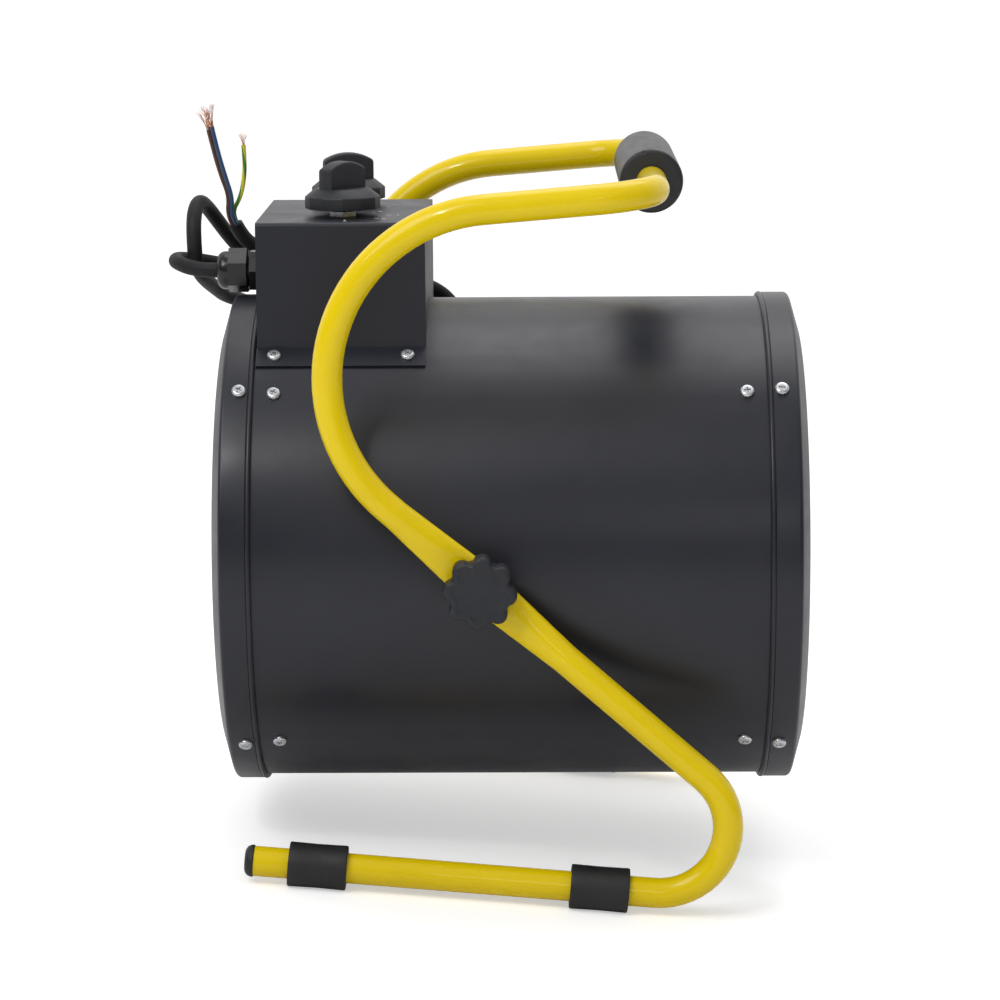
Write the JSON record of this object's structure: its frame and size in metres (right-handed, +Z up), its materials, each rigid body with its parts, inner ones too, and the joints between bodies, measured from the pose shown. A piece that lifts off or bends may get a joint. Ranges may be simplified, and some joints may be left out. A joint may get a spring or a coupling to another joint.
{
  "type": "forced air heater",
  "caption": "Portable forced air heater: a steel drum with wire guards, a control box with rotary knobs and a cable, hung in a bent tube stand that also makes the carrying handle.",
  "frame": {"origin": "centre of the footprint of all parts but the cable, on the floor the foot sleeves stand on", "axes": "+X from the air inlet to the air outlet, +Y to the far side of the stand, +Z up"},
  "size_m": [0.3858, 0.341, 0.4094],
  "materials": {
    "drum_paint": "gloss",
    "box_paint": "satin",
    "stand_paint": "gloss",
    "zinc": "satin",
    "guard_wire": "satin",
    "galvanised": "satin",
    "element_steel": "matte",
    "motor_paint": "satin",
    "fan_aluminium": "satin",
    "knob_plastic": "matte",
    "gland_plastic": "gloss",
    "switch_plastic": "matte",
    "terminal_plastic": "matte",
    "sleeve_rubber": "matte",
    "grip_foam": "matte",
    "cable_rubber": "satin",
    "core_brown": "satin",
    "core_blue": "satin",
    "core_green_yellow": "satin",
    "copper": "satin"
  },
  "bodies": {
    "stand": {"stand_tube": "stand_paint", "handle_grip": "grip_foam", "foot_sleeve_near_back": "sleeve_rubber", "foot_sleeve_near_front": "sleeve_rubber", "foot_sleeve_far_back": "sleeve_rubber", "foot_sleeve_far_front": "sleeve_rubber", "end_plug_near": "knob_plastic", "end_plug_far": "knob_plastic"},
    "mode_selector": {"mode_knob": "knob_plastic", "mode_spindle": "zinc"},
    "thermostat_selector": {"thermostat_knob": "knob_plastic", "thermostat_spindle": "zinc"},
    "fan_rotor": {"fan": "fan_aluminium", "fan_nut": "zinc", "motor_shaft": "zinc"},
    "star_near": {"star_knob_near": "knob_plastic", "knob_stud_near": "zinc"},
    "star_far": {"star_knob_far": "knob_plastic", "knob_stud_far": "zinc"},
    "drum": {"box_screws": "zinc", "control_box": "box_paint", "core_blue": "core_blue", "core_brown": "core_brown", "core_earth": "core_green_yellow", "drum_shell": "drum_paint", "element_inner": "element_steel", "element_middle": "element_steel", "element_outer": "element_steel", "element_spider": "galvanised", "gland_body": "gland_plastic", "gland_locknut": "gland_plastic", "gland_nut": "gland_plastic", "gland_seal": "sleeve_rubber", "heat_shield": "galvanised", "inlet_guard": "guard_wire", "inlet_ring": "drum_paint", "inlet_ring_screws": "zinc", "mode_switch": "switch_plastic", "motor": "motor_paint", "motor_frame": "galvanised", "motor_frame_screws": "zinc", "outlet_guard": "guard_wire", "outlet_ring": "drum_paint", "outlet_ring_screws": "zinc", "pivot_nut_far": "zinc", "pivot_nut_near": "zinc", "pivot_plate_far": "galvanised", "pivot_plate_near": "galvanised", "pivot_spacer_far": "sleeve_rubber", "pivot_spacer_near": "sleeve_rubber", "shield_clips": "galvanised", "shield_screws": "zinc", "strands_earth": "copper", "strands_power": "copper", "supply_cable": "cable_rubber", "terminal_block": "terminal_plastic", "thermal_cutout": "switch_plastic", "thermostat": "galvanised", "wire_grommet": "sleeve_rubber"}
  },
  "joints": [
    {"name": "drum_tilt", "type": "hinge", "parent": "stand", "child": "drum", "pos_m": [-0.01136, 0, 0.174], "axis": [0, 1, 0], "range_deg": [-9, 15]},
    {"name": "star_knob_near", "type": "hinge", "parent": "drum", "child": "star_near", "pos_m": [-0.01136, 0, 0.174], "axis": [0, -1, 0], "range_deg": [0, 360]},
    {"name": "star_knob_far", "type": "hinge", "parent": "drum", "child": "star_far", "pos_m": [-0.01136, 0, 0.174], "axis": [0, 1, 0], "range_deg": [0, 360]},
    {"name": "mode_knob", "type": "hinge", "parent": "drum", "child": "mode_selector", "pos_m": [-0.10525, -0.0305, 0.35534], "axis": [-0.0854, 0, 0.9963], "range_deg": [-135, 0]},
    {"name": "thermostat_knob", "type": "hinge", "parent": "drum", "child": "thermostat_selector", "pos_m": [-0.10525, 0.0305, 0.35534], "axis": [-0.0854, 0, 0.9963], "range_deg": [-270, 0]},
    {"name": "fan_spin", "type": "hinge", "parent": "drum", "child": "fan_rotor", "pos_m": [-0.01136, 0, 0.174], "axis": [0.9963, 0, 0.0854], "continuous": true}
  ]
}
